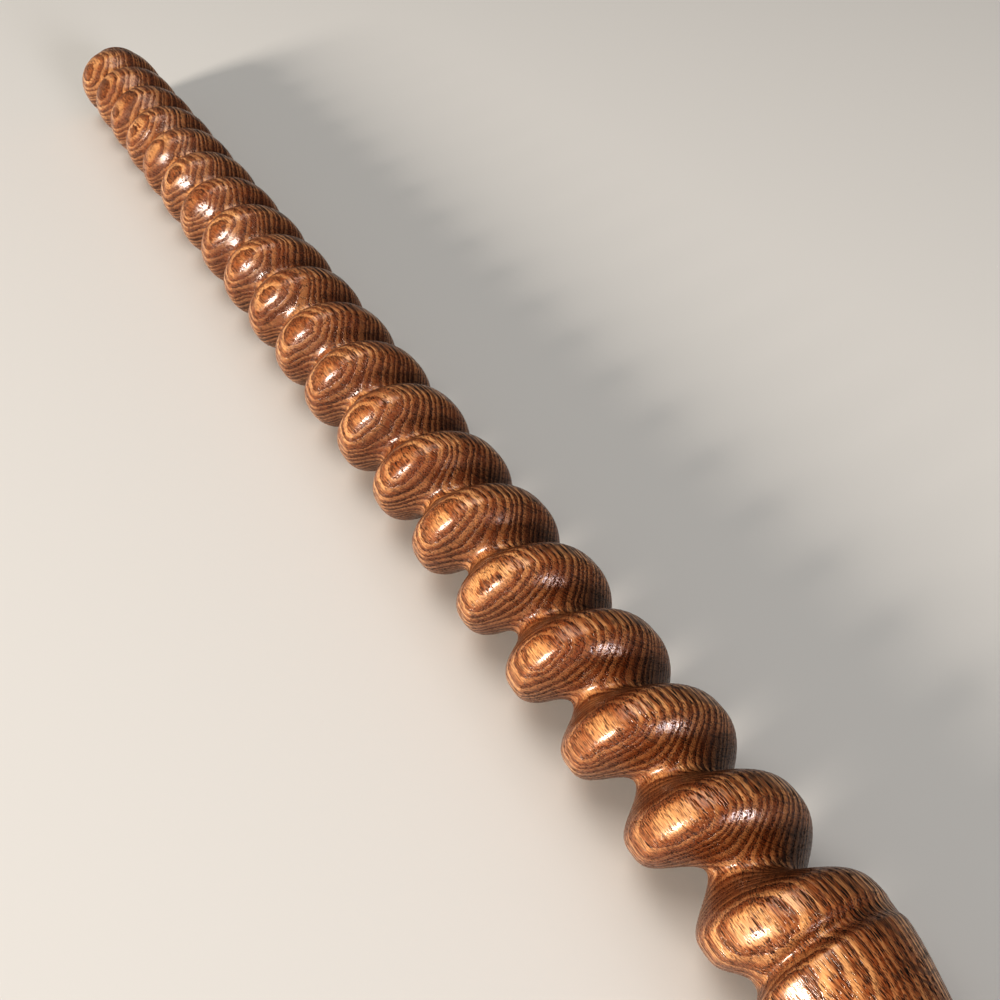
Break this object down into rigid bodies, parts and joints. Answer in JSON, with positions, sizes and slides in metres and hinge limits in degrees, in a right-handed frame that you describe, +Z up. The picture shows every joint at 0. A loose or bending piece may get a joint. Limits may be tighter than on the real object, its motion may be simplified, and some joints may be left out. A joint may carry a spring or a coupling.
{
  "type": "magic wand",
  "caption": "Carved oak wand: a left-handed spiral shaft runs out on a plain shoulder, above a dark collar ring, a turned grip and a round pommel.",
  "frame": {"origin": "centre of the flat face at the butt of the pommel", "axes": "+X along the wand's axis from the butt to the tip, +Z up with the wand lying down, +Y to the left when looking from butt to tip"},
  "size_m": [0.355, 0.0208, 0.0208],
  "materials": {
    "oak": "open-pored oak with a thin semi-gloss oil varnish",
    "walnut": "dark walnut with a thin semi-gloss oil varnish",
    "brass": "plain drawn brass rod, hidden inside the grip"
  },
  "bodies": {
    "root": {"shaft": "oak", "collar": "walnut", "grip": "oak", "balance_rod": "brass", "pommel": "oak"}
  },
  "joints": []
}
